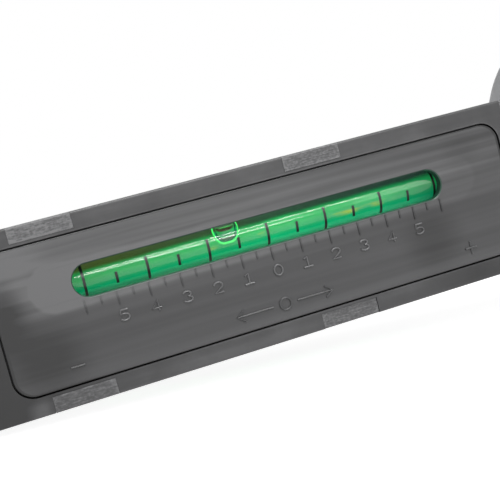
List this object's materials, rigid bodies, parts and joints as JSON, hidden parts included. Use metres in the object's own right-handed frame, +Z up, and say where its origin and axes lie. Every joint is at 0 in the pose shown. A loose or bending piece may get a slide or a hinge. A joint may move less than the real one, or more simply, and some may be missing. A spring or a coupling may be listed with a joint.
{
  "type": "camber caster gauge",
  "caption": "Magnetic wheel alignment gauge: a square moulded case with a green level vial behind a window and raised degree scale, and a round pot magnet with a sprung centring pin.",
  "frame": {"origin": "centre of the magnet face, on the axis of the centring pin", "axes": "+X out of the magnet face and along the case, -Y out of the camber dial, +Z up as that dial is read"},
  "size_m": [0.2354, 0.078, 0.078],
  "materials": {
    "case_abs": "moulded, fine satin",
    "dial_abs": "moulded, fine satin",
    "key_abs": "moulded, scuffed",
    "cradle_abs": "moulded, off-white",
    "vial_acrylic": "clear, polished",
    "vial_liquid": "clear green liquid",
    "plug_rubber": "matt",
    "washer_nylon": "moulded nylon",
    "knob_steel": "turned, fluted",
    "spring_steel": "drawn wire",
    "pin_steel": "turned, polished",
    "cup_paint": "grey satin paint on steel",
    "magnet_ferrite": "sintered ferrite, ground",
    "pole_steel": "ground steel",
    "bush_brass": "turned",
    "screw_steel": "zinc plated"
  },
  "bodies": {
    "case": {"back_cover": "dial_abs", "back_latch_keys": "key_abs", "base_neck": "case_abs", "camber_cradle": "cradle_abs", "camber_dial_plate": "dial_abs", "camber_levelling_pads": "plug_rubber", "camber_levelling_screws": "screw_steel", "camber_vial_liquid": "vial_liquid", "camber_vial_plugs": "plug_rubber", "camber_vial_tube": "vial_acrylic", "case_shell": "case_abs", "cross_level_liquid": "vial_liquid", "cross_level_plugs": "plug_rubber", "cross_level_tube": "vial_acrylic", "cup_screws": "screw_steel", "end_cap": "case_abs", "end_cap_screws": "screw_steel", "front_latch_keys": "key_abs", "inner_pole": "pole_steel", "lower_caster_dial_plate": "dial_abs", "lower_caster_knob_ring": "plug_rubber", "lower_caster_pivot_screw": "screw_steel", "lower_caster_pivot_washer": "washer_nylon", "magnet_cup": "cup_paint", "neck_screws": "screw_steel", "pin_bush": "bush_brass", "pin_spring": "spring_steel", "ring_magnet": "magnet_ferrite", "upper_caster_dial_plate": "dial_abs", "upper_caster_knob_ring": "plug_rubber", "upper_caster_pivot_screw": "screw_steel", "upper_caster_pivot_washer": "washer_nylon"},
    "centring_pin": {"centring_pin": "pin_steel"},
    "upper_knob": {"upper_caster_zero_knob": "knob_steel", "upper_caster_knob_clip": "spring_steel"},
    "upper_cradle": {"upper_caster_cradle": "cradle_abs", "upper_caster_vial_tube": "vial_acrylic", "upper_caster_vial_liquid": "vial_liquid", "upper_caster_vial_plugs": "plug_rubber"},
    "lower_knob": {"lower_caster_zero_knob": "knob_steel", "lower_caster_knob_clip": "spring_steel"},
    "lower_cradle": {"lower_caster_cradle": "cradle_abs", "lower_caster_vial_tube": "vial_acrylic", "lower_caster_vial_liquid": "vial_liquid", "lower_caster_vial_plugs": "plug_rubber"}
  },
  "joints": [
    {"name": "centring_pin_slide", "type": "slide", "parent": "case", "child": "centring_pin", "axis": [-1, 0, 0], "range_m": [0, 0.01], "stiffness_N_per_m": 350, "springref_m": -0.005, "deforming": ["pin_spring"]},
    {"name": "upper_knob_turn", "type": "hinge", "parent": "case", "child": "upper_knob", "pos_m": [-0.212, 0.0058, 0.0146], "axis": [1, 0, 0], "range_deg": [-60, 60]},
    {"name": "upper_cradle_tilt", "type": "hinge", "parent": "case", "child": "upper_cradle", "pos_m": [-0.0535, 0.0058, 0.01505], "axis": [0, 0, -1], "range_deg": [-1.25, 1.25]},
    {"name": "lower_knob_turn", "type": "hinge", "parent": "case", "child": "lower_knob", "pos_m": [-0.212, -0.0058, -0.0146], "axis": [1, 0, 0], "range_deg": [-60, 60]},
    {"name": "lower_cradle_tilt", "type": "hinge", "parent": "case", "child": "lower_cradle", "pos_m": [-0.0535, -0.0058, -0.01505], "axis": [0, 0, 1], "range_deg": [-1.25, 1.25]}
  ],
  "couplings": [
    {"joint": "upper_cradle_tilt", "follows": "upper_knob_turn", "ratio": 0.020048},
    {"joint": "lower_cradle_tilt", "follows": "lower_knob_turn", "ratio": 0.020048}
  ]
}
